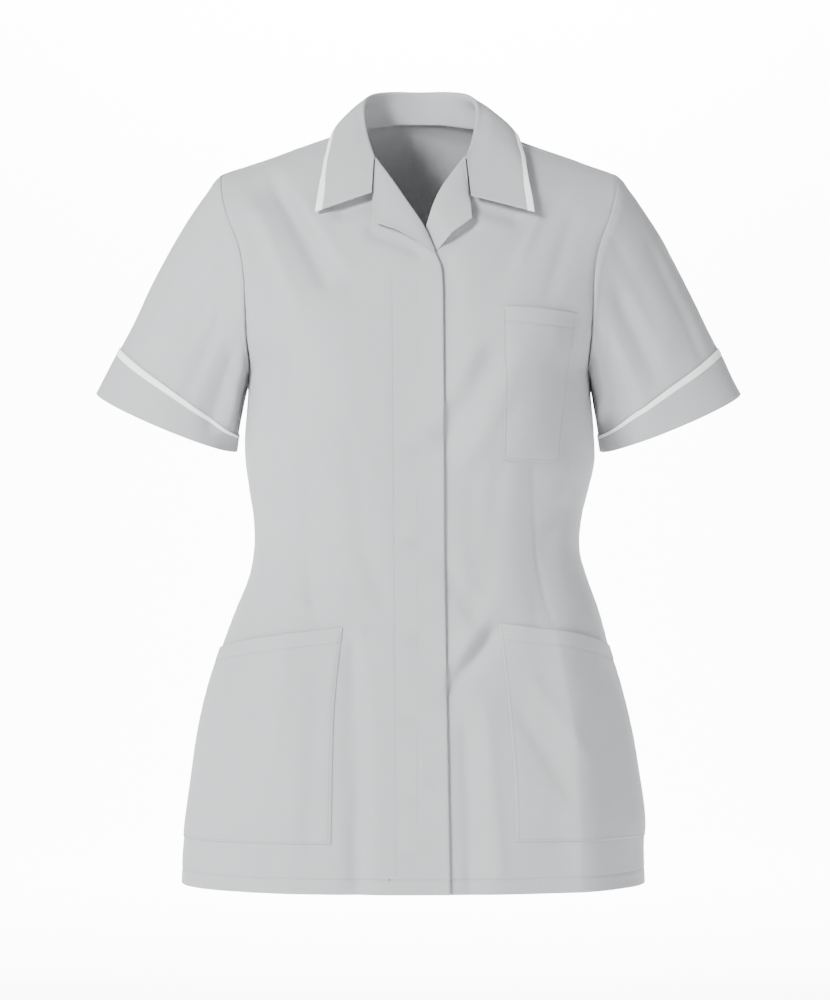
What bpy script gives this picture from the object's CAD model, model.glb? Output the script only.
"""Medical tunic, dressed: every cloth piece as a fine shell on the form of its solid, with its creases and sewing.

The body's cloth is one hollow form, read at (turn, height): turn runs across it, 0 at the centre line and 1 or -1
at its edges, and height is where a row crosses the centre line. The solids have the same form and named sizes.
"""

import bpy
import numpy as np
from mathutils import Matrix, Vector


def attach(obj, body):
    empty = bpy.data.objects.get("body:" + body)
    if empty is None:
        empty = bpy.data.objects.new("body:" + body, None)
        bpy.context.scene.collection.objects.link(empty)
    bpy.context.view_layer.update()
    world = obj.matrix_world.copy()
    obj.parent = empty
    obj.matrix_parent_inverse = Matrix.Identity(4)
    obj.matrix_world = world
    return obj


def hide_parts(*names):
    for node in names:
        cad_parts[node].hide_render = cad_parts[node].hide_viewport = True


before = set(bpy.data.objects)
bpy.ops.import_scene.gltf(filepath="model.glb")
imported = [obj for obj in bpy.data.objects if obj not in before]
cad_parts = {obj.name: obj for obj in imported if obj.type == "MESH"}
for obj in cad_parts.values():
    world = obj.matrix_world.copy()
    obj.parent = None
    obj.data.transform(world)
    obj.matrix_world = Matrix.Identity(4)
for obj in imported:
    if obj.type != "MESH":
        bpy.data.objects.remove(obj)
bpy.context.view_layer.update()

# ---- sizes shared with the solids, in metres

HEM = -0.703
UNDERARM = -0.235
TOP_ROW = 0.014
SHOULDER = -0.0475
SHOULDER_SOFT = 0.010
NAPE_SOFT = 0.034
NECK_HALF = 0.065
BACK_NECK_DEPTH = 0.042
ARMHOLE_DEPTH = 0.068
ARMHOLE_EGG = 0.25
END_SHARE = 0.72
SECTION_POWER = 2.35

SEAM_GAP = 0.0003
LAP_STEP = 0.0026
BREAK_STEP = 0.0016
LAP_BLEND = 0.022
BREAK_HEIGHT = -0.112

CUFF_DEPTH = 0.0405
TRIM_WIDTH = 0.0065
CUFF_PROUD = 0.0009
COLLAR_TRIM_WIDTH = 0.0062
ROLL_RADIUS = 0.0016
EDGE_CLEAR = 0.0004
GORGE_DROP = 0.30
LAPEL_SPRING = 0.0016
LAPEL_LIFT = 0.0036  # how far its outer edge stands off the chest
NECK_INSET = 0.0016
NECK_RISE = -0.0008
RIGHT_NOTCH = (-0.0434, -0.0773, -0.0690)
LEFT_NOTCH = (0.0478, -0.0772, -0.0720)
LEFT_FOLD_SHIFT = 0.0026
LEFT_RIM_SHIFT = 0.0105
SLEEVE_HEM = np.array((0.2345, 0.004, -0.2765))
HEM_INWARD = np.array((-0.0643, 0.0, -0.0261))
HEM_FORWARD = np.array((-0.002, -0.0400, -0.0080))
SLEEVE_CLEAR = 0.0005
SLEEVE_HEAD = 0.044
SLEEVE_LENGTH = 0.2325
SLEEVE_START = 0.0015
TRIM_PROUD = 0.0012
POCKET_SIDE = 0.004

# what the looks add: the cloth's own thickness, and how far each layer lies out
CLOTH = 0.0011
POCKET_CLOTH = 0.0009
POCKET_LIFT = 0.00115
POCKET_SWELL = 0.0009
POCKET_GAPE = 0.0012
COLLAR_CLOTH = 0.0013
LAPEL_CLOTH = 0.0011
# Tables that end in / 1000 are in millimetres. Rows of the body: height, half width, sway to one side.
BODY = np.array([
    (-703, 214.5, -5), (-674, 213.4, -5), (-646, 212, -3.8), (-591, 205, -3.3), (-535, 194.4, -3.6),
    (-479, 177.6, -2.8), (-451, 168.3, -1.8), (-423, 157.6, -1.4), (-395, 151.1, -2.2), (-367, 152, -1.4),
    (-339, 157.2, 0), (-312, 161.8, 1), (-288, 161.6, 0.6), (-262, 159.6, 0.4), (-248, 158.5, 0.2),
    (-235, 158, 0),
]) / 1000

# Height, depth to the front, depth to the back.
DEPTH = np.array([
    (-703, 127, 119), (-630, 124, 119), (-560, 119, 115), (-500, 113, 105), (-440, 107, 90),
    (-385, 105, 82), (-330, 112, 88), (-280, 120, 98), (-240, 122, 104), (-200, 118, 105), (-160, 109, 101),
    (-124, 98, 93), (-100, 89, 87), (-70, 75, 78), (-37, 55, 68), (-20, 42, 60), (0, 22, 48), (6, 14, 40),
    (11, 6, 24), (14, 0, 0),
]) / 1000

# Level, from -1 at the underarm to 1 at the shoulder, and half width in metres.
ARMHOLE = np.array([
    (-1.00, 0.1580), (-0.95, 0.1565), (-0.90, 0.1560), (-0.80, 0.1565), (-0.60, 0.1577), (-0.30, 0.1588),
    (0.00, 0.1605), (0.22, 0.1640), (0.38, 0.1690), (0.52, 0.1745), (0.80, 0.1820), (1.00, 0.1840),
])

# The inner edge of each front, from the shoulder down the neck seam, the roll line and the front edge: x, z.
RIGHT_EDGE = np.array([
    (-65, -5.6), (-58.5, -21), (-50, -31), (-40, -37.9), (-19.2, -69.2), (4, -105.5), (13.5, -123.7),
    (19.8, -138), (21.2, -156), (21.6, -240), (22.5, -390), (25, -560), (27.7, -703),
]) / 1000
LEFT_EDGE = np.array([
    (65, -5.6), (59, -20), (51.5, -29), (42.5, -36), (20, -70), (7.2, -99.6), (-6, -135), (-17, -160),
    (-21, -200), (-22, -450), (-22.5, -703),
]) / 1000
GORGE = 3  # the row of an edge where the collar's end meets the roll line
BREAK = 6  # and the row where the roll line ends

# The outer edge of each lapel, from its end of the gorge round its point to the break.
RIGHT_LAPEL = np.array([
    (-41, -69.5), (-41.2, -85), (-40.5, -99.5), (-19, -106.9), (-2.8, -115.4), (11.8, -126.2),
]) / 1000
LEFT_LAPEL = np.array([
    (45, -73.5), (46.2, -85), (47, -96), (30, -108.2), (16.8, -121.8),
]) / 1000
LAPEL_TIP = 2
LEFT_ROLL_END = (0.0068, -0.1010)  # the left lapel shows down to here, where the right front covers it

# Soft folds of a sleeve: (angle, from_reach, to_reach, width, height), the angle as on the wearer's left.
SLEEVE_FOLDS = (
    (1.95, 0.35, 0.75, 0.20, -0.0035), (1.20, 0.25, 0.60, 0.26, 0.0022), (2.50, 0.50, 0.80, 0.20, 0.0024),
    (4.30, 0.30, 0.80, 0.24, -0.0030), (5.10, 0.20, 0.60, 0.28, 0.0022),
)

# Soft folds of the front and the back, each from one place to another: from_x, from_z, to_x, to_z, width, height.
FRONT_FOLDS = np.array([
    (-88, -200, -80, -262, 52, 7.5),  # fullness that the right dart lets in
    (88, -200, 80, -262, 52, 7.5),  # and the left one
    (-138, -70, -64, -158, 13, -3),  # slack from the right shoulder to the chest
    (120, -85, 72, -150, 14, -2.2),
    (-138, -190, -128, -290, 14, -3),  # below the right armhole
    (142, -200, 150, -300, 13, -2.5),
    (64, -474, 40, -505, 11, -4),  # drag from the left pocket's corner
    (52, -466, 40, -482, 10, 2),
    (131, -480, 154, -690, 16, 4),  # the edge where the left hip turns away
    (176, -500, 192, -690, 15, -3.5), (-62, -500, -56, -700, 14, -2.8), (-112, -520, -118, -690, 22, 3),
    (45, -560, 50, -700, 13, -2.5),
    (-100, -330, -94, -440, 16, -2.8),  # waist darts draw in
    (104, -330, 112, -440, 16, -2.8),
]) / 1000
BACK_FOLDS = np.array([
    (-75, -300, -80, -470, 16, -3.2), (75, -300, 80, -470, 16, -3.2), (-118, -110, -70, -200, 15, -2.6),
    (125, -120, 82, -190, 14, -2.6), (-60, -560, -70, -700, 18, 3.6), (20, -540, 26, -700, 16, -3.4),
    (100, -560, 118, -700, 18, 3.6), (-130, -540, -146, -700, 16, -3),
    (-50, -395, 55, -402, 14, 3),  # the small of the back
]) / 1000

# The collar's right half, from the centre back to its front end: x, y, z of its fold, then of its outer edge.
COLLAR = np.array([
    (0, 45, 34.5, 0, 70, -13), (-28, 37.5, 34, -37, 62, -12.5), (-45, 17, 29, -65, 35, -4.2),
    (-51.5, -6, 18, -79, -1, -6.6), (-50.5, -22, 0, -85.5, -35, -30), (-46.5, -37, -19, -90, -60, -56),
    (-41.3, -51.8, -35, -94, -78, -86.5),
]) / 1000

# ---- numbers

def cubic(f, gap, low, high, low_slope, high_slope):
    """The cubic between two knots at f of the gap between them, from their values and slopes."""
    start = (1 + 2 * f) * (1 - f) ** 2 * low + f * (1 - f) ** 2 * gap * low_slope
    end = f * f * (3 - 2 * f) * high - f * f * (1 - f) * gap * high_slope
    return start + end


def smooth(at, places, values):
    """A soft curve through a table, with slopes taken from the neighbours."""
    at = np.clip(at, places[0], places[-1])
    slopes = np.gradient(values, places, axis=0)
    k = np.clip(np.searchsorted(places, at) - 1, 0, len(places) - 2)
    more = np.shape(k) + (1,) * (np.ndim(values) - 1)
    gap = (places[k + 1] - places[k]).reshape(more)
    f = (at - places[k]).reshape(more) / gap
    return cubic(f, gap, values[k], values[k + 1], slopes[k], slopes[k + 1])


def ease(f):
    """0 below 0, 1 above 1, and a soft S between them."""
    f = np.clip(f, 0.0, 1.0)
    return f * f * (3 - 2 * f)


def bell(f):
    """1 at 0, falling as exp(-f squared) on both sides."""
    return np.exp(-(f**2))


def unit(vectors):
    return vectors / np.maximum(np.linalg.norm(vectors, axis=-1, keepdims=True), 1e-12)


def run_along(line):
    """How far along a line each of its points is."""
    return np.concatenate([[0.0], np.cumsum(np.linalg.norm(np.diff(line, axis=0), axis=1))])


def along(points, count, softly=True):
    """count points at even steps on a line through the given ones."""
    points = np.asarray(points, float)
    run = run_along(points)
    steps = np.linspace(0.0, run[-1], count)
    curve = smooth if softly else np.interp
    return np.stack([curve(steps, run, column) for column in points.T], axis=1)


# ---- the hollow form of the body

def station(height, side):
    """The row that crosses the centre at height: half width, end height, end depth, centre depth, quarter angle.

    Above the underarm the armhole cuts the row short, where the section is as deep as the armhole is there.
    """
    middle, half = (TOP_ROW + UNDERARM) / 2, (TOP_ROW - UNDERARM) / 2
    level = np.clip((height - middle) / half, -1.0, 1.0)
    over = height > UNDERARM
    below = smooth(height, BODY[:, 0], BODY[:, 1])
    half_width = np.where(over, smooth(level, ARMHOLE[:, 0], ARMHOLE[:, 1]), below)
    arm_middle, arm_half = (SHOULDER + UNDERARM) / 2, (SHOULDER - UNDERARM) / 2
    end_height = np.where(over, arm_middle + arm_half * level, height)
    end_depth = ARMHOLE_DEPTH * np.sqrt(1 - level**2) * (1 - ARMHOLE_EGG * level)
    centre_depth = smooth(height, DEPTH[:, 0], DEPTH[:, 1 if side < 0 else 2])
    share = END_SHARE * np.tanh(end_depth / np.maximum(centre_depth, 1e-6) / END_SHARE)
    quarter = np.arcsin((1 - share**SECTION_POWER) ** (1 / SECTION_POWER))
    return half_width, end_height, end_depth, centre_depth, quarter


def section(turned):
    """The squared-off quarter circle: 1 at the centre, 0 where the side seam is."""
    return np.sign(np.cos(turned)) * (1 - np.abs(np.sin(turned)) ** SECTION_POWER) ** (1 / SECTION_POWER)


def squeeze(quarter):
    """How much of its quarter circle the armhole cuts off a row, and how close to its ends that is felt."""
    cut = 1 - quarter / (np.pi / 2)
    return cut, np.clip(0.6 / np.maximum(cut, 1e-9) - 1, 0.3, 8.0)


def swept(turn, quarter):
    """The section's angle at a turn. A row that the armhole cuts short is squeezed towards its ends."""
    cut, power = squeeze(quarter)
    return np.pi / 2 * turn * (1 - cut * np.abs(turn) ** power)


def turn_of(inner, half_width, quarter):
    """The turn of the point that lies inner from the middle of its row: swept, solved in a few steps."""
    angle = np.arcsin(np.clip(inner * np.sin(quarter) / half_width, -np.sin(quarter), np.sin(quarter)))
    cut, power = squeeze(quarter)
    turn = angle / quarter
    for _ in range(12):
        slope = 1 - cut * (power + 1) * np.abs(turn) ** power
        turn = turn - (turn * (1 - cut * np.abs(turn) ** power) - angle / (np.pi / 2)) / slope
    return turn


def slope_share(x, half_width, soft):
    """The share of the shoulder's drop at x: a straight slope, rounded at the centre over soft."""
    return (np.hypot(x, soft) - soft) / (np.hypot(half_width, soft) - soft)


def sway(height):
    """How far a row is moved to one side."""
    return smooth(height, BODY[:, 0], BODY[:, 2])


def form(turn, height, side):
    """A place on the body. side is -1 for the front and 1 for the back."""
    half_width, end_height, end_depth, centre_depth, quarter = station(height, side)
    turned = swept(turn, quarter)
    x = half_width * np.sin(turned) / np.sin(quarter)
    end = section(quarter)
    bow = (section(turned) - end) / (1 - end)
    y = side * (end_depth + (centre_depth - end_depth) * bow)
    soft = SHOULDER_SOFT + NAPE_SOFT * ease(y / BACK_NECK_DEPTH)
    drop = slope_share(x, half_width, soft)
    z = height + (end_height - height) * drop
    return np.stack([x + sway(height), y, z], axis=-1)


def rounded(turn, height, side):
    """The form, with the break along its underarm row rounded off by a mean of rows close by."""
    turn, height = np.broadcast_arrays(turn, height)
    reach = UNDERARM_REACH * bell((height - UNDERARM) / 0.020) * (1 - ease((np.abs(turn) - 0.80) / 0.18))
    total = np.zeros(turn.shape + (3,))
    for step in np.linspace(-1, 1, 9):
        total += (1.25 - np.abs(step)) * form(turn, height + reach * step, side)
    return total / 6.25


def outward(turn, height, side):
    """The form's outward direction, from the steps to its neighbours."""
    across = rounded(turn + 1e-3, height, side) - rounded(turn - 1e-3, height, side)
    up = rounded(turn, height + 4e-4, side) - rounded(turn, height - 4e-4, side)
    return unit(np.cross(across, up) * -side)


def place(x, z):
    """(turn, height) of the front's point at x and z."""
    height = np.array(z, float)
    for _ in range(12):
        half_width, end_height = station(height, -1)[:2]
        inner = x - sway(height)
        drop = slope_share(inner, half_width, SHOULDER_SOFT)
        height = z - (end_height - height) * drop
    half_width, _, _, _, quarter = station(height, -1)
    inner = x - sway(height)
    return turn_of(inner, half_width, quarter), height


def folds(points, table):
    """How far the soft folds move the cloth out: a bell across each, fading at both ends."""
    total = np.zeros(points.shape[:-1])
    for from_x, from_z, to_x, to_z, width, height in table:
        run = np.array([to_x - from_x, to_z - from_z])
        length = np.linalg.norm(run)
        rel = points[..., (0, 2)] - (from_x, from_z)
        f = rel @ run / length**2
        beside = rel[..., 0] * run[1] / length - rel[..., 1] * run[0] / length
        past = np.maximum(np.maximum(-f, f - 1), 0.0) * length
        total += height * np.exp(-((beside / width) ** 2) - (past / (1.6 * width)) ** 2)
    return total


def inner_edge(edge, heights):
    """Where a front's inner edge crosses each row, as turns."""
    line = along(edge, 400, softly=False)
    turns, levels = place(line[:, 0], line[:, 1])
    order = np.argsort(levels)
    return np.interp(heights, levels[order], turns[order])


# ---- fine form that the solids leave out

# Creases too fine for the solids, in the same columns as the folds.
FRONT_CREASES = np.array([
    (-126, -72, -92, -118, 6, -1.6), (-104, -80, -70, -132, 8, 1.8), (-150, -105, -120, -190, 9, -1.8),
    (-131, -60, -86, -150, 8.5, -4.4), (-148, -90, -112, -165, 11, 3.4), (-131, -205, -128, -258, 14, -4.8),
    (78, -240, 44, -315, 10, 2.1), (127, -235, 122, -290, 14, -3), (64, -225, 28, -288, 11, -3.9),
    (48, -215, 22, -262, 7, 1.5), (110, -88, 92, -132, 6, 1.4), (138, -98, 118, -156, 8, -1.5),
    (-100, -428, -92, -458, 6, -2.1), (-112, -440, -86, -452, 5, 1.4), (-50, -395, -34, -436, 8, -1.8),
    (-57, -488, -56, -690, 8, -3.6), (45, -330, 52, -440, 12, -2.7), (24, -410, 50, -455, 9, -2.4),
    (-52, -470, -60, -620, 6, 1.5), (64, -474, 30, -519, 6, -3), (56, -462, 34, -492, 6, 1.9),
    (42, -560, 46, -695, 5.5, -1.9), (60, -540, 72, -680, 8, 1.8), (94, -545, 134, -612, 8, -2.1),
    (106, -520, 150, -585, 7, 1.5), (-118, -480, -149, -690, 11, 2.4), (-90, -500, -100, -650, 9, -1.5),
    (-140, -330, -118, -372, 8, -1.5), (142, -335, 120, -385, 8, -1.8), (70, -330, 62, -420, 9, -1.5),
    (-60, -300, -50, -380, 10, -1.4),
]) / 1000
BACK_CREASES = np.array([
    (-110, -85, -60, -150, 8, -1.4), (120, -100, 60, -160, 8, -1.3), (-140, -180, -100, -240, 8, -1.4),
    (146, -170, 110, -240, 8, -1.4), (-90, -372, -20, -388, 6, -1.6), (88, -366, 16, -384, 6, -1.5),
    (-60, -412, 30, -418, 6, -1.2), (-30, -440, -60, -600, 8, 1.2), (50, -470, 70, -640, 8, 1.2),
    (-110, -500, -130, -690, 7, -1.3), (120, -500, 142, -690, 7, -1.3), (-10, -120, 12, -260, 10, -1),
]) / 1000
# A sleeve's creases, in the same columns as its folds.
SLEEVE_CREASES = {
    "right": (
        (1.30, 0.18, 0.46, 0.10, -0.0016), (1.62, 0.35, 0.72, 0.12, -0.0024), (2.15, 0.30, 0.80, 0.16, -0.0040),
        (0.80, 0.30, 0.55, 0.12, 0.0012), (2.45, 0.20, 0.60, 0.12, 0.0016), (4.40, 0.15, 0.60, 0.12, -0.0018),
        (5.20, 0.30, 0.80, 0.12, 0.0012), (3.90, 0.30, 0.70, 0.12, -0.0016),
    ),
    "left": (
        (1.15, 0.16, 0.40, 0.11, -0.0014), (1.45, 0.30, 0.62, 0.14, -0.0034), (2.15, 0.12, 0.50, 0.15, -0.0036),
        (0.70, 0.35, 0.70, 0.12, -0.0013), (1.80, 0.35, 0.75, 0.12, 0.0022), (4.20, 0.20, 0.62, 0.12, -0.0018),
        (5.00, 0.30, 0.75, 0.12, 0.0012), (2.60, 0.20, 0.60, 0.12, 0.0014),
    ),
}
# Each sleeve's hollow beside the body: from which reach, at which angle, how wide and how deep.
SLEEVE_TUCK = {"right": (0.70, 2.80, 0.36, 0.016), "left": (0.48, 2.68, 0.42, 0.019)}
# Crisp edges in the fronts: the line, then height and reach.
FRONT_EDGES = (
    (np.array([(0.1195, -0.468), (0.1366, -0.558), (0.1433, -0.662), (0.1440, -0.703)]), 0.0030, 0.012),
    (np.array([(-0.0440, -0.500), (-0.0400, -0.590), (-0.0390, -0.690)]), 0.0014, 0.011),
    (np.array([(0.0560, -0.470), (0.0350, -0.514)]), 0.0009, 0.006),
)
# Heights of the concealed fastenings, which pucker the lapped front.
FASTENING_HEIGHTS = (-0.308, -0.389, -0.472, -0.548, -0.618, -0.672)
FACING_X = (-0.0245, -0.0205)  # the facing's stitch line, at the break and at the hem
HEM_STITCH = 0.0135  # up from the hem
HEM_TURNING = 0.020  # how far up the hem's cloth is double
DART_RIGHT = np.array([(-0.1005, -0.300), (-0.1010, -0.370), (-0.0995, -0.461)])
DART_LEFT = np.array([(0.1020, -0.318), (0.1050, -0.360), (0.1090, -0.405), (0.1150, -0.436), (0.1210, -0.462)])
# The falls below the lapels and the collar's ends: the edge, then how far below it, how deep and how wide.
TUCKS = (
    (RIGHT_LAPEL[LAPEL_TIP:-1], 0.0065, 0.0036, 0.0080),
    (LEFT_LAPEL[LAPEL_TIP:-1], 0.0060, 0.0034, 0.0070),
    (np.array([(-0.0700, -0.0790), (-0.0450, -0.0700)]), 0.0070, 0.0042, 0.0090),
    (np.array([(0.0860, -0.0830), (0.0500, -0.0730)]), 0.0070, 0.0048, 0.0090),
)
CENTRE_BACK = 0.0035
SEAM_DIP = 0.0009
SEAM_REACH = 0.0055
PUCKER = 0.00022
UNDERARM_REACH = 0.012


def waves(points, seed, longest, shortest, height, count=12):
    """Soft unevenness: a sum of sine waves through space, each with its own direction and length."""
    draw = np.random.default_rng(seed)
    directions = unit(draw.normal(size=(count, 3)))
    lengths = np.geomspace(longest, shortest, count)
    starts = draw.uniform(0, 2 * np.pi, count)
    turns = points @ directions.T * (2 * np.pi / lengths) + starts
    return height * (np.sin(turns) * (lengths / longest) ** 0.8).sum(axis=-1) / np.sqrt(count)


def distance_to(points, line):
    """Distance from each (x, z) to a line of short straight runs."""
    best = np.full(points.shape[:-1], 1.0)
    for start, stop in zip(line[:-1], line[1:]):
        run = stop - start
        f = np.clip(((points - start) @ run) / (run @ run), 0, 1)
        best = np.minimum(best, np.linalg.norm(points - start - f[..., None] * run, axis=-1))
    return best


def crisp_edge(points, line, height, reach):
    """A pressed edge in the cloth: height times exp(-distance / reach), with a narrow round top."""
    away = distance_to(points[..., (0, 2)], line)
    return height * np.exp(-np.hypot(away, 0.0012) / reach)


def groove(distance, depth, reach):
    """A narrow trough where thread pulls the cloth in."""
    return -depth * bell(distance / reach)


def edge_x(z, edge):
    """Where a front's inner edge lies at height z."""
    order = np.argsort(edge[:, 1])
    return np.interp(z, edge[order, 1], edge[order, 0])


def lap_lift(turn, height):
    """How far the left front steps back behind the right one's edge, most beside the break."""
    points = form(turn, height, -1)
    under = 1 - ease((points[..., 0] - edge_x(points[..., 2], RIGHT_EDGE) - 0.001) / LAP_BLEND)
    near_break = bell((points[..., 2] - BREAK_HEIGHT) / 0.03)
    low_enough = ease((-0.080 - points[..., 2]) / 0.02)
    return -(LAP_STEP + BREAK_STEP * near_break) * under * low_enough


def seam_relief(turn, height, base):
    """Cloth dips to a seam at the panel's outer edge, with small puckers along it."""
    half_width = np.abs(base[..., 0]) / np.maximum(np.abs(turn), 0.05)
    away = (1 - np.abs(turn)) * half_width
    away = np.where(height < UNDERARM, away * 1.2, away)
    along_seam = base[..., 2] + base[..., 1]
    dip = -SEAM_DIP * bell(away / SEAM_REACH)
    return dip + PUCKER * np.sin(along_seam * 2 * np.pi / 0.0115) * bell(away / 0.009)


def shoulder_relief(height):
    """The same along the shoulder seam."""
    away = (TOP_ROW - height) * 2.2
    return -SEAM_DIP * 0.8 * bell(away / SEAM_REACH)


def fastening_relief(base):
    """Each hidden fastening dents the lap, with a soft swell above it."""
    x, z = base[..., 0], base[..., 2]
    across = bell((x + 0.001) / 0.013)
    total = np.zeros(x.shape)
    for k, at in enumerate(FASTENING_HEIGHTS):
        slant = 0.06 * (x - 0.005) * (1 if k % 2 else -1)
        total -= 0.0019 * bell((z - at - slant) / 0.0060) * across
        total += 0.0012 * bell((z - at - 0.014 + slant) / 0.0090) * across
    return total


def tuck_relief(plan):
    """The chest falls back just below the edges of the lapels and the collar."""
    total = np.zeros(plan.shape[:-1])
    for line, drop, depth, reach in TUCKS:
        total += groove(distance_to(plan, line - (0.0, drop)), depth, reach)
    return total


def front_relief(turn, height, base, left):
    """Everything fine on a front."""
    plan = base[..., (0, 2)]
    total = folds(base, FRONT_CREASES) + waves(base, 5, 0.16, 0.03, 0.0006) + waves(base, 9, 0.02, 0.008, 0.00007)
    total += sum(crisp_edge(base, *edge) for edge in FRONT_EDGES)
    total += seam_relief(turn, height, base) + shoulder_relief(height)
    total += groove(base[..., 2] - HEM - HEM_STITCH, 0.0006, 0.0013) + tuck_relief(plan)
    total += groove(distance_to(plan, DART_LEFT if left else DART_RIGHT), 0.00075 if left else 0.0004, 0.0022)
    if not left:
        line = np.array([(FACING_X[0], -0.150), (FACING_X[1], HEM)])
        total += fastening_relief(base) + groove(distance_to(plan, line), 0.00028, 0.0018)
        from_edge = edge_x(base[..., 2], RIGHT_EDGE) - base[..., 0]
        total += 0.0006 * bell(from_edge / 0.006) * ease((-0.12 - base[..., 2]) / 0.03)
    return total


def front(turn, height, lift, left):
    """A place on either front: the form with folds and fine relief and, on the left, the step under the lap."""
    base = rounded(turn, height, -1)
    still = ease(np.abs(np.abs(turn) - 1) / 0.12)
    moved = lift + folds(base, FRONT_FOLDS) * still + front_relief(turn, height, base, left)
    if left:
        moved += lap_lift(turn, height)
    return base + outward(turn, height, -1) * moved[..., None]


def back(turn, height, lift):
    """A place on the back."""
    base = rounded(turn, height, 1)
    still = ease(np.abs(np.abs(turn) - 1) / 0.12)
    moved = lift + (folds(base, BACK_FOLDS) + folds(base, BACK_CREASES)) * still
    moved += waves(base, 15, 0.17, 0.03, 0.0007) + waves(base, 19, 0.02, 0.008, 0.00007)
    moved += seam_relief(turn, height, base) + groove(base[..., 2] - HEM - HEM_STITCH, 0.0006, 0.0013)
    moved += groove(base[..., 0] - CENTRE_BACK, 0.0005, 0.0022) * ease((-0.07 - base[..., 2]) / 0.03)
    return base + outward(turn, height, 1) * moved[..., None]


# ---- meshes

ROOT = "root"


def in_metres(points, origin=None):
    """UV coordinates in metres: how far each grid point is along its row and up its column.

    A row is measured from its middle, or from the column called origin, which starts at its own x.
    """
    across = np.linalg.norm(np.diff(points, axis=1), axis=-1)
    u = np.concatenate([np.zeros((points.shape[0], 1)), np.cumsum(across, axis=1)], axis=1)
    if origin is None:
        u = u - u[:, -1:] / 2
    else:
        way = np.sign(points[0, -1, 0] - points[0, 0, 0])
        u = u - u[:, origin:origin + 1] + way * points[:, origin:origin + 1, 0]
    up = np.median(np.linalg.norm(np.diff(points, axis=0), axis=-1), axis=1)
    v = np.concatenate([[0.0], np.cumsum(up)])[:, None] + np.zeros_like(u)
    return np.stack([u, v], axis=-1)


def squares(number):
    """Four-sided faces between the neighbours of a grid of point numbers."""
    return np.stack([number[:-1, :-1], number[:-1, 1:], number[1:, 1:], number[1:, :-1]], axis=-1).reshape(-1, 4)


def linked(name, data):
    """A new object in the scene."""
    made = bpy.data.objects.new(name, data)
    bpy.context.scene.collection.objects.link(made)
    return made


def mesh_object(name, points, quads, uv, material, inside=None):
    """An object from arrays of points and four-sided faces, with a UV pair for each point.

    inside, where given, is 1 at the points on the cloth's reverse side and 0 elsewhere.
    """
    mesh = bpy.data.meshes.new(name)
    mesh.vertices.add(len(points))
    mesh.vertices.foreach_set("co", np.ascontiguousarray(points, np.float32).ravel())
    mesh.loops.add(quads.size)
    mesh.loops.foreach_set("vertex_index", quads.astype(np.int32).ravel())
    mesh.polygons.add(len(quads))
    mesh.polygons.foreach_set("loop_start", np.arange(0, quads.size, 4, dtype=np.int32))
    mesh.polygons.foreach_set("loop_total", np.full(len(quads), 4, np.int32))
    layer = mesh.uv_layers.new(name="cloth")
    layer.data.foreach_set("uv", uv[quads.ravel()].astype(np.float32).ravel())
    if inside is not None:
        kept = mesh.attributes.new(name="reverse", type="FLOAT", domain="POINT")
        kept.data.foreach_set("value", inside.astype(np.float32))
    mesh.update(calc_edges=True)
    mesh.validate()
    mesh.materials.append(material)
    mesh.shade_smooth()
    made = linked(name, mesh)
    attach(made, ROOT)
    return made


def shell(name, inner, outer, material, ring=False, reverse=False, origin=None):
    """A closed wall between two grids, its rim rounded by a middle line that stands a little past the edge.

    With reverse, the inner grid shows the cloth's reverse side.
    """
    high, wide = inner.shape[:2]
    count = high * wide
    middle = (inner + outer) / 2
    uv_grid = in_metres(middle, origin)
    number = np.arange(count).reshape(high, wide)
    loop = np.concatenate([number, number[:, :1]], axis=1) if ring else number
    skin = squares(loop)
    faces = [skin + count, skin[:, ::-1]]
    half = np.linalg.norm(outer - inner, axis=-1, keepdims=True) / 2
    out = np.zeros_like(middle)
    step_up = unit(np.gradient(middle, axis=0)) * half * 0.8
    out[0] -= step_up[0]
    out[-1] += step_up[-1]
    if ring:
        borders = [loop[0], loop[-1][::-1]]
    else:
        step_across = unit(np.gradient(middle, axis=1)) * half * 0.8
        out[:, 0] -= step_across[:, 0]
        out[:, -1] += step_across[:, -1]
        border = np.concatenate([loop[0, :-1], loop[:-1, -1], loop[-1, :0:-1], loop[:0:-1, 0]])
        borders = [np.append(border, border[0])]
    points = [inner.reshape(-1, 3), outer.reshape(-1, 3)]
    uv = [uv_grid.reshape(-1, 2)] * 2
    base = 2 * count
    for border in borders:
        own = len(border) - 1
        ridge = np.arange(own + 1) % own + base
        points.append((middle + out).reshape(-1, 3)[border[:-1]])
        uv.append(uv_grid.reshape(-1, 2)[border[:-1]])
        faces.append(np.stack([border[:-1], border[1:], ridge[1:], ridge[:-1]], axis=-1))
        faces.append(np.stack([ridge[:-1], ridge[1:], border[1:] + count, border[:-1] + count], axis=-1))
        base += own
    quads = np.concatenate(faces)
    points = np.concatenate(points)
    corners = points[quads]
    centre = points.mean(axis=0)
    spin = np.cross(corners[:, 2] - corners[:, 0], corners[:, 3] - corners[:, 1])
    if ((corners.mean(axis=1) - centre) * spin).sum() < 0:
        quads = quads[:, ::-1]
    inside = (np.arange(len(points)) < count) * float(reverse)
    return mesh_object(name, points, quads, np.concatenate(uv), material, inside)


def grown(points, thickness):
    """The two skins of a wall round any grid of points, by its own outward directions."""
    normal = unit(np.cross(np.gradient(points, axis=1), np.gradient(points, axis=0)))
    return points - normal * thickness / 2, points + normal * thickness / 2


# ---- materials

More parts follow.
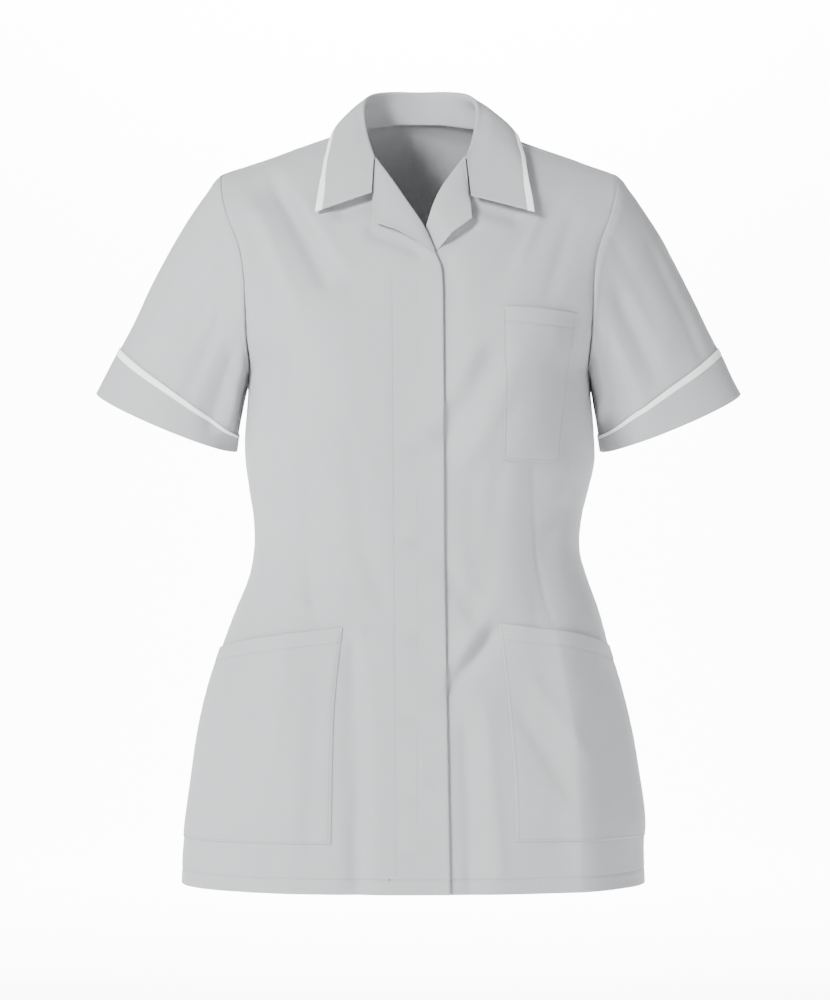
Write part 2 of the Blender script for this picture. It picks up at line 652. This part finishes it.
class Socket:
    """A shader socket that takes plain arithmetic."""

    def __init__(self, graph, socket):
        self.graph = graph
        self.socket = socket

    def maths(self, operation, *values):
        made = self.graph.node("ShaderNodeMath", {"operation": operation}, dict(enumerate(values)))
        return Socket(self.graph, made.outputs[0])

    def __add__(self, other):
        return self.maths("ADD", self, other)

    def __sub__(self, other):
        return self.maths("SUBTRACT", self, other)

    def __rsub__(self, other):
        return self.maths("SUBTRACT", other, self)

    def __mul__(self, other):
        return self.maths("MULTIPLY", self, other)

    def __truediv__(self, other):
        return self.maths("DIVIDE", self, other)

    def __pow__(self, other):
        return self.maths("POWER", self, other)

    __radd__ = __add__
    __rmul__ = __mul__

    def sine(self):
        return self.maths("SINE", self)


class Graph:
    """A material's nodes. Every node comes from one call with its type, settings and inputs."""

    def __init__(self, name):
        self.material = bpy.data.materials.new(name)
        self.material.use_nodes = True
        self.nodes = self.material.node_tree.nodes
        self.links = self.material.node_tree.links
        self.shader = self.nodes["Principled BSDF"]

    def node(self, kind, settings=None, inputs=None):
        made = self.nodes.new(kind)
        for key, value in (settings or {}).items():
            setattr(made, key, value)
        for key, value in (inputs or {}).items():
            self.feed(made.inputs[key], value)
        return made

    def feed(self, socket, value):
        if isinstance(value, Socket):
            self.links.new(value.socket, socket)
        elif isinstance(value, bpy.types.NodeSocket):
            self.links.new(value, socket)
        else:
            socket.default_value = value

    def set(self, **inputs):
        for key, value in inputs.items():
            self.feed(self.shader.inputs[key.replace("_", " ")], value)

    def noise(self, vector, scale, detail):
        made = self.node("ShaderNodeTexNoise", {}, {"Vector": vector, "Scale": scale, "Detail": detail})
        return Socket(self, made.outputs[0])

    def bump(self, height, distance):
        return self.node("ShaderNodeBump", {}, {"Height": height, "Distance": distance, "Strength": 1.0}).outputs[0]

    def blend(self, share, low, high):
        low, high = [(*end, 1.0) if isinstance(end, tuple) else end for end in (low, high)]
        return self.node("ShaderNodeMix", {"data_type": "RGBA"}, {0: share, 6: low, 7: high}).outputs[2]


REVERSE_SHARE = 0.86  # how light the reverse of the cloth is, beside its face


def woven(name, low, high, pitch, depth, wrinkle, roughness):
    """Matt twill: slanting ribs at the given pitch, a slow drift between two colours and a slight fine crumple."""
    graph = Graph(name)
    uv = graph.node("ShaderNodeUVMap", {"uv_map": "cloth"})
    parts = graph.node("ShaderNodeSeparateXYZ", {}, {0: uv.outputs[0]})
    across, up = Socket(graph, parts.outputs[0]), Socket(graph, parts.outputs[1])
    place_at = graph.node("ShaderNodeTexCoord").outputs["Object"]
    ribs = ((across + up) * (2 * np.pi / pitch)).sine()
    yarns = ((across - up * 0.35) * (2 * np.pi / (pitch * 0.62))).sine()
    crumple = graph.noise(place_at, 55.0, 3.0)
    drift = graph.noise(place_at, 9.0, 2.0)
    reverse = Socket(graph, graph.node("ShaderNodeAttribute", {"attribute_name": "reverse"}).outputs["Fac"])
    face = graph.blend(drift * 0.7 + ribs * 0.12 + 0.1, low, high)
    height = ribs * 0.35 + yarns * 0.15 + crumple * (wrinkle / depth)
    graph.set(
        Base_Color=graph.blend(reverse, face, tuple(REVERSE_SHARE * part for part in low)),
        Roughness=roughness,
        Specular_IOR_Level=0.1,
        Normal=graph.bump(height, depth),
    )
    return graph.material


def plain(name, colour, roughness):
    graph = Graph(name)
    graph.set(Base_Color=(*colour, 1.0), Roughness=roughness, Specular_IOR_Level=0.2)
    return graph.material


CLOTH_GREY = woven("cloth_grey", (0.384, 0.394, 0.402), (0.414, 0.424, 0.434), 0.0011, 0.00012, 0.00045, 0.90)
EDGING_WHITE = woven("edging_white", (0.95, 0.955, 0.96), (0.98, 0.98, 0.985), 0.0009, 0.00010, 0.0002, 0.75)
THREAD_GREY = plain("thread_grey", (0.25, 0.26, 0.27), 0.7)
BACKDROP = plain("backdrop", (0.90, 0.90, 0.905), 0.95)


# ---- body panels

def fine_rows(low, arm_rows):
    """Heights of a panel's rows: close over the hem's turning, then even, and closer at both ends of the armhole."""
    middle, half = (TOP_ROW + UNDERARM) / 2, (TOP_ROW - UNDERARM) / 2
    upper = middle - half * np.cos(np.linspace(0, np.pi, arm_rows + 1))
    turned_up = HEM + HEM_TURNING
    lower = np.linspace(turned_up, UNDERARM, low + 1)[:-1]
    return np.concatenate([np.linspace(HEM, turned_up, 21)[:-1], lower, upper])


def to_seam(skin, side):
    """Front and back meet in the plane of the shoulder and side seams."""
    skin[..., 1] = side * np.maximum(side * skin[..., 1], SEAM_GAP / 2)
    return skin


# How far short of the side seam and of the armhole a panel's last column stops, as turns: its round rim fills that.
SEAM_END = 0.0008
ARMHOLE_END = 0.0030


def panel_end(heights):
    """Where the last column of each row lies, as a turn."""
    return 1 - SEAM_END - (ARMHOLE_END - SEAM_END) * ease((heights[:, None] - UNDERARM) / 0.02)


def front_panel(name, edge, side):
    """A front: rows from its inner edge out to the side seam and armhole."""
    heights = fine_rows(140, 84)
    start = inner_edge(edge, heights)
    f = np.linspace(0, 1, 131)
    f = f - 0.35 * np.sin(2 * np.pi * f) / (2 * np.pi)
    turn = start[:, None] + (side * panel_end(heights) - start[:, None]) * f
    height = np.repeat(heights[:, None], len(f), axis=1)
    skins = [to_seam(front(turn, height, lift, side > 0), -1) for lift in (-CLOTH / 2, CLOTH / 2)]
    return shell(name, *skins, CLOTH_GREY, reverse=True, origin=0)


def back_neck(x):
    """The row height that the back neck seam reaches at x, from the neck's half ellipse."""
    depth = BACK_NECK_DEPTH * np.sqrt(np.clip(1 - (x / NECK_HALF) ** 2, 0, 1))
    upper = DEPTH[DEPTH[:, 0] > -0.03]
    return np.interp(depth, upper[::-1, 2], upper[::-1, 0])


def back_panel(name):
    """The back, whose rows dip under the neck seam."""
    heights = fine_rows(110, 64)
    f = np.linspace(-1, 1, 193)
    f = f + 0.30 * np.sin(np.pi * f) / np.pi
    turn = f[None, :] * panel_end(heights)
    height = np.repeat(heights[:, None], len(f), axis=1)
    half_width, _, _, _, quarter = station(np.array([TOP_ROW]), 1)
    dip = TOP_ROW - back_neck(half_width * np.sin(swept(f, quarter)) / np.sin(quarter))
    height = height - dip * ease((height - UNDERARM) / (TOP_ROW - UNDERARM))
    skins = [to_seam(back(turn, height, lift), 1) for lift in (-CLOTH / 2, CLOTH / 2)]
    return shell(name, *skins, CLOTH_GREY, reverse=True, origin=len(f) // 2)


# ---- lapels

def roll(line, outline, count, bends, flats):
    """A lapel's plan (x, z) and lift, from behind the roll line round its bend to the outer edge."""
    line = along(line, count)
    line[0] += (line[1] - line[0]) * GORGE_DROP * (count - 1) / 8
    upper = along(outline[:LAPEL_TIP + 1], 1 + (count - 1) // 2, softly=False)
    lower = along(outline[LAPEL_TIP:], count - (count - 1) // 2, softly=False)
    rim = np.concatenate([upper, lower[1:]])
    across = unit(rim - line)
    bend = np.radians(np.linspace(-78, 78, bends))[None, :]
    radius = (ROLL_RADIUS * (1 - 0.8 * ease((np.linspace(0, 1, count) - 0.72) / 0.28)))[:, None]
    out = radius * np.cos(bend) + EDGE_CLEAR
    f = np.linspace(0.06, 1.0, flats)
    flat = line[:, None] + (rim - line)[:, None] * f[None, :, None]
    plan = np.concatenate([line[:, None] - across[:, None] * out[..., None], flat], axis=1)
    free = np.sin(np.pi * np.clip(np.linspace(-0.1, 1.0, count), 0, 1))[:, None] ** 0.5
    settle = 2 * radius + (LAPEL_SPRING * np.sin(np.pi * f**0.8) + LAPEL_LIFT * f**3)[None, :] * free
    return plan, np.concatenate([radius * (1 + np.sin(bend)), settle], axis=1)


def lapel(name, line, outline, left):
    """A front facing turned out along its roll line. The left one keeps under the right front's edge."""
    plan, lift = roll(line, outline, 113, 13, 52)
    turn, height = place(plan[..., 0], plan[..., 1])
    if left:
        lift = lift + lap_lift(turn, height)
    base = form(turn, height, -1)
    lift = lift + waves(base, 31 if left else 33, 0.06, 0.02, 0.00035)
    points = base + outward(turn, height, -1) * lift[..., None]
    return shell(name, *grown(points, LAPEL_CLOTH), CLOTH_GREY)


# ---- collar

def mirror_half(half, shift):
    """Both halves of the collar, from the right front end to the left one, which lies further out by shift."""
    way = np.linspace(0, 1, len(half))[:, None]
    other = half * (-1, 1, 1) + ease(way * 1.6) * (shift, 0, 0)
    return np.concatenate([half[::-1], other[1:]])


def neck_seam(count):
    """The neck seam on the body, from the right gorge round the back to the left one."""
    line = along(RIGHT_EDGE[:GORGE + 1], 12)
    turn, height = place(line[:, 0], line[:, 1])
    front_half = form(turn, height, -1)
    x = -NECK_HALF * np.cos(np.linspace(0, np.pi / 2, 12))
    half_width, _, _, _, quarter = station(np.array([TOP_ROW]), 1)
    turn = turn_of(x, half_width, quarter)
    half = np.concatenate([form(turn, back_neck(x), 1)[::-1], front_half[1:]])
    half = half + unit(np.array((0, 0, 0.012)) - half) * NECK_INSET + (0, 0, NECK_RISE)
    return along(mirror_half(half, LEFT_FOLD_SHIFT), count)


def collar_profiles(count):
    """The collar as nine lines from the neck seam up the stand, over the fold and down the fall to the rim.

    At both front ends the upper fall eases to the gorge, the straight line from the fold to the notch.
    """
    fold = along(mirror_half(COLLAR[:, :3], LEFT_FOLD_SHIFT), count)
    rim = along(mirror_half(COLLAR[:, 3:], LEFT_RIM_SHIFT), count)
    seam = neck_seam(count)
    out = unit((rim - fold) * (1, 1, 0) + 1e-9)
    up = np.array((0.0, 0.0, 1.0))
    end = np.linspace(-1, 1, count)[:, None]
    gorge = ease((np.abs(end) - 0.72) / 0.28)
    last = gorge**3
    notch = np.where(end < 0, RIGHT_NOTCH, LEFT_NOTCH)
    small = 1 - 0.45 * gorge
    over = fold + out * 0.0034 - up * 0.0022 * small
    fall = fold + (rim - fold) * 0.17 + out * 0.0030
    middle = fold + (rim - fold) * 0.42 + out * 0.004 * (1 - gorge)
    return last[:, 0], np.stack([
        seam,
        seam + (fold - seam) * 0.62,
        fold - out * 0.0012 - up * 0.0030 * small,
        fold,
        over * (1 - last) + (fold + (notch - fold) * 0.10) * last,
        fall * (1 - last) + (fold + (notch - fold) * 0.42) * last,
        middle * (1 - last) + notch * last,
        (middle * (1 - last) + notch * last + rim) / 2 + out * 0.0012 * (1 - gorge),
        rim,
    ])


COLLAR_RUN = np.array([0.0, 0.9, 1.35, 1.6, 1.85, 2.3, 3.4, 4.4, 5.4]) / 5.4  # where each knot lies along the curve


def collar_grids(count):
    """The collar's cloth and its tape, which keeps one width along the rim.

    Towards both ends its soft cross section gives way to straight runs, so the notch stays a corner.
    """
    last, knots = collar_profiles(count)
    pace = np.linalg.norm(knots[8] - knots[7], axis=1) / (COLLAR_RUN[8] - COLLAR_RUN[7])
    split = 1 - COLLAR_TRIM_WIDTH / pace
    low = COLLAR_RUN[6]
    stand = np.concatenate([np.linspace(0, 0.42, 26), np.linspace(0.435, low, 14)])
    body = np.concatenate([np.repeat(stand[:, None], count, axis=1),
                           low + (split - low) * np.linspace(0, 1, 23)[1:, None]])
    edge = split + 0.0002 / pace + (1 - split - 0.0002 / pace) * np.linspace(0, 1, 9)[:, None]
    grids = []
    for steps in (body, edge):
        k = np.clip(np.searchsorted(COLLAR_RUN, steps, side="right") - 1, 0, len(COLLAR_RUN) - 2)
        column = np.arange(count)[None, :]
        gap = COLLAR_RUN[k + 1] - COLLAR_RUN[k]
        f = ((steps - COLLAR_RUN[k]) / gap)[..., None]
        gap = gap[..., None]
        slopes = np.gradient(knots, COLLAR_RUN, axis=0)
        low_knot, high_knot = knots[k, column], knots[k + 1, column]
        soft = cubic(f, gap, low_knot, high_knot, slopes[k, column], slopes[k + 1, column])
        straight = low_knot + (high_knot - low_knot) * f
        share = (last**4)[None, :, None]
        points = soft * (1 - share) + straight * share
        fall = ease((steps - 0.35) / 0.25)
        moved = waves(points, 41, 0.07, 0.025, 0.0006) * fall
        grids.append(points + unit(points * (1, 1, 0) + (0, 0, 0.02)) * moved[..., None])
    return grids


def collar():
    body, edge = collar_grids(241)
    made = shell("collar_cloth", *grown(body, COLLAR_CLOTH), CLOTH_GREY)
    tape = shell("collar_tape", *grown(edge, COLLAR_CLOTH + 0.0003), EDGING_WHITE)
    return made, tape


# ---- sleeves

def armhole(angle):
    """The armhole seam of the wearer's left side: angle 0 at the shoulder, a half turn at the underarm."""
    level = np.cos(angle)
    x = smooth(level, ARMHOLE[:, 0], ARMHOLE[:, 1])
    y = -ARMHOLE_DEPTH * np.sin(angle) * (1 - ARMHOLE_EGG * level)
    z = (SHOULDER + UNDERARM) / 2 + (SHOULDER - UNDERARM) / 2 * level
    return np.stack([x, y, z], axis=-1)


def hem_ring(angle):
    """The sleeve's hem: an ellipse whose top is its outer end, with its front edge a little lower."""
    return SLEEVE_HEM - np.cos(angle)[..., None] * HEM_INWARD + np.sin(angle)[..., None] * HEM_FORWARD


def ring_folds(angle, reach, table):
    """The same for folds that run down a sleeve."""
    total = np.zeros(reach.shape)
    for at, from_reach, to_reach, width, height in table:
        beside = (np.mod(angle - at + np.pi, 2 * np.pi) - np.pi) / width
        middle, half = (from_reach + to_reach) / 2, (to_reach - from_reach) / 2
        total += height * np.exp(-(beside**2) - (np.maximum(np.abs(reach - middle) - half, 0) / 0.12) ** 2)
    return total


def fallen_back(angle, reach, word):
    """How far the front of a sleeve falls back beside the body."""
    start, at, width, depth = SLEEVE_TUCK[word]
    return depth * bell((np.mod(angle, 2 * np.pi) - at) / width) * ease((reach - start) / 0.25)


def sleeve_point(angle, reach, word, lift):
    """A sleeve's surface: straight lines from armhole to hem, filled out at the head, with its relief."""
    start = armhole(angle) + (1 - np.cos(angle))[..., None] / 2 * (SLEEVE_CLEAR, 0, 0)
    run = hem_ring(angle) - start
    point = start + run * reach[..., None]
    head = SLEEVE_HEAD * reach * (1 - reach) ** 2 * (0.5 + 0.5 * np.cos(angle)) ** 1.5
    point = point + head[..., None] * np.array((0.87, 0, 0.50))
    point = point + fallen_back(angle, reach, word)[..., None] * (0, 1, 0)
    around = armhole(angle + 0.01) - armhole(angle - 0.01) + (hem_ring(angle + 0.01) - hem_ring(angle - 0.01)) * 1.5
    normal = unit(np.cross(unit(around), run))
    seed = 51 if word == "left" else 57
    moved = ring_folds(angle, reach, SLEEVE_FOLDS + SLEEVE_CREASES[word])
    moved = (moved + waves(point, seed, 0.12, 0.03, 0.0007)) * ease(reach / 0.12)
    moved += waves(point, seed + 2, 0.02, 0.008, 0.00007)
    away = reach * SLEEVE_LENGTH
    moved += 0.0006 * bell((away - 0.008) / 0.006) - 0.0005 * bell(away / 0.005)
    puckers = np.sin(angle * 38 + 1.5 * np.sin(angle * 5)) * (0.6 + 0.4 * np.cos(angle))
    moved += 0.00020 * puckers * bell(away / 0.011)
    under_seam = (np.mod(angle, 2 * np.pi) - np.pi) * 0.06
    moved += groove(under_seam, 0.0006, 0.003)
    return point + normal * (lift + moved)[..., None]


SIDES = {"right": np.array((-1, 1, 1)), "left": np.array((1, 1, 1))}  # a sleeve is made on the left


def sleeve_part(name, word, start, stop, rows_down, lift, material):
    """A ring of the sleeve from start to stop, as fractions of its length, moved out by lift."""
    angle, reach = np.meshgrid(np.linspace(0, 2 * np.pi, 176, endpoint=False), np.linspace(start, stop, rows_down + 1))
    skins = [sleeve_point(angle, reach, word, lift + way * CLOTH / 2) * SIDES[word] for way in (-1, 1)]
    return shell(name, *skins, material, ring=True, reverse=material == CLOTH_GREY)


# ---- pockets

POCKET_HEM = 0.0135  # stitch line down from a pocket's mouth
EDGE_STITCH = 0.0018  # and in from its other edges


def corner(x, z):
    """A pocket corner given by its place on the front."""
    turn, height = place(np.array([x]), np.array([z]))
    return turn[0], height[0]


# Each pocket's corners: inner top, outer top, inner foot, outer foot. Then its rough width and height. The chest
# pocket's corners are (x, z) and the hip pockets' are (turn, height), since those reach the side seams.
POCKETS = {
    "chest_pocket": (((0.0737, -0.1760), (0.1425, -0.1790), (0.0746, -0.3120), (0.1265, -0.3150)), 0.062, 0.136),
    "hip_pocket_right": ((corner(-0.0690, -0.4640), (POCKET_SIDE - 1, -0.4890),
                          corner(-0.0795, -0.6580), (POCKET_SIDE - 1, -0.6600)), 0.150, 0.185),
    "hip_pocket_left": ((corner(0.0728, -0.4600), (1 - POCKET_SIDE, -0.4860),
                         corner(0.0869, -0.6560), (1 - POCKET_SIDE, -0.6590)), 0.150, 0.185),
}


def pocket_point(name, across, up, lift):
    """A place on a pocket: the front's surface between its corners, raised by a layer, slack at the mouth."""
    corners, wide, high = POCKETS[name]
    inner_top, outer_top, inner_foot, outer_foot = np.array(corners)
    foot = inner_foot + (outer_foot - inner_foot) * across[..., None]
    top = inner_top + (outer_top - inner_top) * across[..., None]
    turn, height = np.moveaxis(foot + (top - foot) * up[..., None], -1, 0)
    from_side = np.minimum(across, 1 - across) * wide
    from_mouth = (1 - up) * high
    edge = np.minimum(from_side, up * high)
    puff = POCKET_SWELL * ease(edge / 0.022)
    gape = POCKET_GAPE * np.sin(np.pi * across) * bell(from_mouth / 0.016)
    fine = groove(edge - EDGE_STITCH, 0.0004, 0.0011) + groove(from_mouth - POCKET_HEM, 0.0006, 0.0012)
    fine = fine + 0.0002 * ease(1 - (from_mouth - POCKET_HEM) / 0.001)
    if name == "chest_pocket":
        turn, height = place(turn, height)
    return front(turn, height, lift + POCKET_LIFT + puff + gape + fine, name != "hip_pocket_right")


def pocket(name):
    steps = np.concatenate([np.linspace(0, 0.86, 70), np.linspace(0.868, 1.0, 26)])
    across, up = np.meshgrid(np.linspace(0, 1, 97), steps)
    skins = [to_seam(pocket_point(name, across, up, way * POCKET_CLOTH / 2), -1) for way in (-1, 1)]
    return shell(name + "_cloth", *skins, CLOTH_GREY)


# ---- sewing

STITCH = 0.0026
STITCH_GAP = 0.0009
STITCH_RADIUS = 0.00028
TAPE_STITCH = 0.0022  # from a sleeve's tape


def sew(name, lines):
    """Rows of small raised stitches. Each line is its points and their outward directions.

    A stitch is a short bar of four rings of four corners, thick in the middle, whose ends dip into the cloth.
    """
    points, quads, count = [], [], 0
    corners = np.linspace(0, 2 * np.pi, 5)[:-1] + np.pi / 4
    along_bar = np.array((0.0, 0.2, 0.8, 1.0))
    girth = np.array((0.35, 1.0, 1.0, 0.35)) * STITCH_RADIUS
    sunk = np.array((-1.0, 0.35, 0.35, -1.0)) * STITCH_RADIUS
    ring = np.arange(16).reshape(4, 4)[:, [0, 1, 2, 3, 0]]
    bar = np.concatenate([squares(ring), [ring[0, 3::-1]], [ring[3, :4]]])
    for line, up in lines:
        run = run_along(line)
        starts = np.arange(0.0005, run[-1] - STITCH, STITCH + STITCH_GAP)
        at = starts[:, None] + along_bar * STITCH
        middle, rise = [np.stack([np.interp(at, run, part) for part in of.T], axis=-1) for of in (line, up)]
        rise = unit(rise)
        ahead = unit(middle[:, -1] - middle[:, 0])[:, None]
        beside = np.cross(rise, ahead + np.zeros_like(rise))
        middle = middle + rise * sunk[:, None]
        around = (beside[:, :, None] * np.cos(corners)[:, None] + rise[:, :, None] * np.sin(corners)[:, None])
        rings = middle[:, :, None] + around * girth[:, None, None]
        points.append(rings.reshape(-1, 3))
        quads.append((bar[None] + (np.arange(len(starts)) * 16)[:, None, None] + count).reshape(-1, 4))
        count += 16 * len(starts)
    points, quads = np.concatenate(points), np.concatenate(quads)
    return mesh_object(name, points, quads, points[:, :2], THREAD_GREY)


def on_surface(surface, first, second, lift):
    """A line on a surface of two parameters, with its outward directions, both read where the surface is."""
    line = surface(first, second, lift)
    raised = surface(first, second, lift + 0.001)
    return line, unit(raised - line)


def front_line(line, left, count=260):
    """A sewn line on a front from its (x, z) corners."""
    plan = along(np.array(line), count, softly=False)
    turn, height = place(plan[:, 0], plan[:, 1])
    return on_surface(lambda a, b, c: front(a, b, c, left), turn, height, CLOTH / 2)


def pocket_lines(name):
    """A pocket's sewing: down both sides and along its foot near the edge, and across under its mouth."""
    _, wide, high = POCKETS[name]
    near_x, near_z = EDGE_STITCH / wide, EDGE_STITCH / high
    skin = POCKET_CLOTH / 2
    f = np.linspace(0, 1, 160)
    level = 1 - POCKET_HEM / high
    edge = (
        (near_x + 0 * f, near_z + (1 - near_z - 0.012) * f),
        (1 - near_x + 0 * f, near_z + (1 - near_z - 0.012) * f),
        (near_x + (1 - 2 * near_x) * f, near_z + 0 * f),
        (0.004 + 0.992 * f, level + 0 * f),
    )
    return [on_surface(lambda a, b, c: pocket_point(name, a, b, c), a, b, skin) for a, b in edge]


def hem_line(side):
    """The hem's sewing round the front or the back."""
    turn = np.linspace(-0.992, 0.992, 500)
    base_height = np.full(turn.shape, HEM + HEM_STITCH)
    if side > 0:
        return [on_surface(back, turn, base_height, CLOTH / 2)]
    right = turn[turn < corner(0.024, HEM + HEM_STITCH)[0]]
    left = turn[turn > corner(0.029, HEM + HEM_STITCH)[0]]
    return [on_surface(lambda a, b, c: front(a, b, c, own is left), own, base_height[:len(own)], CLOTH / 2)
            for own in (right, left)]


def bartack():
    """A short thick bar of thread that holds the facing to the hem."""
    levels = [HEM + HEM_STITCH + k * 0.0004 for k in range(-2, 3)]
    return [front_line([(-0.0285, z), (-0.0235, z)], False, count=8) for z in levels]


def sleeve_line(word):
    """Sewing on the sleeve beside the tape."""
    angle = np.linspace(0, 2 * np.pi, 400)
    reach = np.full(angle.shape, TAPE_REACH - TAPE_STITCH / SLEEVE_LENGTH)
    line, up = on_surface(lambda a, b, c: sleeve_point(a, b, word, c), angle, reach, CLOTH / 2)
    return line * SIDES[word], up * SIDES[word]


# ---- the pieces

CUFF_REACH = 1 - CUFF_DEPTH / SLEEVE_LENGTH
TAPE_REACH = CUFF_REACH - TRIM_WIDTH / SLEEVE_LENGTH
TAPE_GAP = 0.6 * SEAM_GAP / SLEEVE_LENGTH


def as_cloth(made, node, flat, area, held="hung", rests_on=(), slot="cloth_grey"):
    """Each cloth piece stands for its solid and is declared as a sheet with its flat cut."""
    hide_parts(node)


front_right = front_panel("front_right_cloth", RIGHT_EDGE, -1)
front_left = front_panel("front_left_cloth", LEFT_EDGE, 1)
back_cloth = back_panel("back_cloth")
lapel_right = lapel("lapel_right_cloth", RIGHT_EDGE[GORGE:BREAK + 1], RIGHT_LAPEL, False)
lapel_left = lapel("lapel_left_cloth", np.vstack([LEFT_EDGE[GORGE:BREAK - 1], LEFT_ROLL_END]), LEFT_LAPEL, True)
collar_cloth, collar_tape = collar()
rings = [(sleeve_part(name, word, *sizes), node + word, *cut) for word in SIDES for name, node, sizes, cut in (
    (f"sleeve_{word}_cloth", "sleeve_", (SLEEVE_START, TAPE_REACH - TAPE_GAP, 84, 0.0, CLOTH_GREY),
     ((0.330, 0.195), 0.0470)),
    (f"cuff_{word}_tape", "cuff_trim_", (TAPE_REACH, CUFF_REACH - TAPE_GAP, 8, TRIM_PROUD, EDGING_WHITE),
     ((0.310, 0.010), 0.00205, "hung", (), "edging_white")),
    (f"cuff_{word}_cloth", "cuff_", (CUFF_REACH, 1.0, 20, CUFF_PROUD, CLOTH_GREY), ((0.300, 0.0345), 0.0102)),
)]
pockets = {name: pocket(name) for name in POCKETS}
thread = sew("stitching", [
    *hem_line(-1),
    *hem_line(1),
    front_line([(FACING_X[0], -0.150), (FACING_X[1], HEM + HEM_STITCH)], False),
    *bartack(),
    *(line for name in POCKETS for line in pocket_lines(name)),
    *map(sleeve_line, SIDES),
])


as_cloth(front_right, "front_right", (0.305, 0.735), 0.176)
as_cloth(front_left, "front_left", (0.305, 0.735), 0.172)
as_cloth(back_cloth, "back", (0.545, 0.735), 0.316)
as_cloth(lapel_right, "lapel_right", (0.050, 0.085), 0.0030, "folded", front_right)
as_cloth(lapel_left, "lapel_left", (0.050, 0.085), 0.0028, "folded", front_left)
as_cloth(collar_cloth, "collar", (0.420, 0.075), 0.0240, "folded", back_cloth)
as_cloth(collar_tape, "collar_trim", (0.560, 0.010), 0.0034, "folded", front_right, "edging_white")
for ring in rings:
    as_cloth(*ring)
as_cloth(pockets["chest_pocket"], "chest_pocket", (0.074, 0.150), 0.0106, "laid", front_left)
as_cloth(pockets["hip_pocket_right"], "hip_pocket_right", (0.190, 0.205), 0.0360, "laid", front_right)
as_cloth(pockets["hip_pocket_left"], "hip_pocket_left", (0.180, 0.205), 0.0338, "laid", front_left)


# ---- stage, light and camera

def sweep():
    """Floor and backdrop in one: a flat run that turns up through a quarter circle into an upright wall."""
    turn = np.linspace(0, np.pi / 2, 24)
    y = np.concatenate([[-9.0], WALL - 1.2 + 1.2 * np.sin(turn), [WALL]])
    z = np.concatenate([[0.0], 1.2 - 1.2 * np.cos(turn), [6.0]]) + FLOOR
    x = np.linspace(-8.0, 8.0, 9)
    points = np.stack(np.broadcast_arrays(x[None, :], y[:, None], z[:, None]), axis=-1)
    number = np.arange(points[..., 0].size).reshape(points.shape[:2])
    mesh = bpy.data.meshes.new("sweep")
    mesh.from_pydata(points.reshape(-1, 3).tolist(), [], squares(number).tolist())
    mesh.materials.append(BACKDROP)
    mesh.shade_smooth()
    return linked("sweep", mesh)


FLOOR = -1.05
WALL = 5.4
sweep()


def area_light(name, at, target, size, power):
    """A square soft light at a place, turned to its target."""
    data = bpy.data.lights.new(name, "AREA")
    data.size = size
    data.energy = power
    made = linked(name, data)
    made.location = at
    made.rotation_euler = (Vector(target) - Vector(at)).to_track_quat("-Z", "Y").to_euler()


MIDDLE = (0.0, 0.0, -0.32)
WORLD_STRENGTH = 0.48
area_light("key", (-2.2, -2.6, 1.25), MIDDLE, 0.9, 280.0)
area_light("fill", (2.4, -2.6, 0.0), MIDDLE, 2.2, 44.0)
area_light("backdrop_light", (0.0, 2.8, 2.6), (0.0, WALL, 0.0), 3.2, 2300.0)

world = bpy.data.worlds.new("studio")
world.use_nodes = True
shine = world.node_tree.nodes["Background"].inputs
shine["Color"].default_value = (1.0, 1.0, 1.0, 1.0)
shine["Strength"].default_value = WORLD_STRENGTH
bpy.context.scene.world = world

camera_data = bpy.data.cameras.new("camera")
camera_data.lens = 135.5
camera_data.sensor_width = 36.0
camera_data.dof.use_dof = False
camera = linked("camera", camera_data)
camera.location = (-0.0037, -3.5, -0.349)
camera.rotation_euler = (np.pi / 2, 0.0, 0.0)
bpy.context.scene.camera = camera
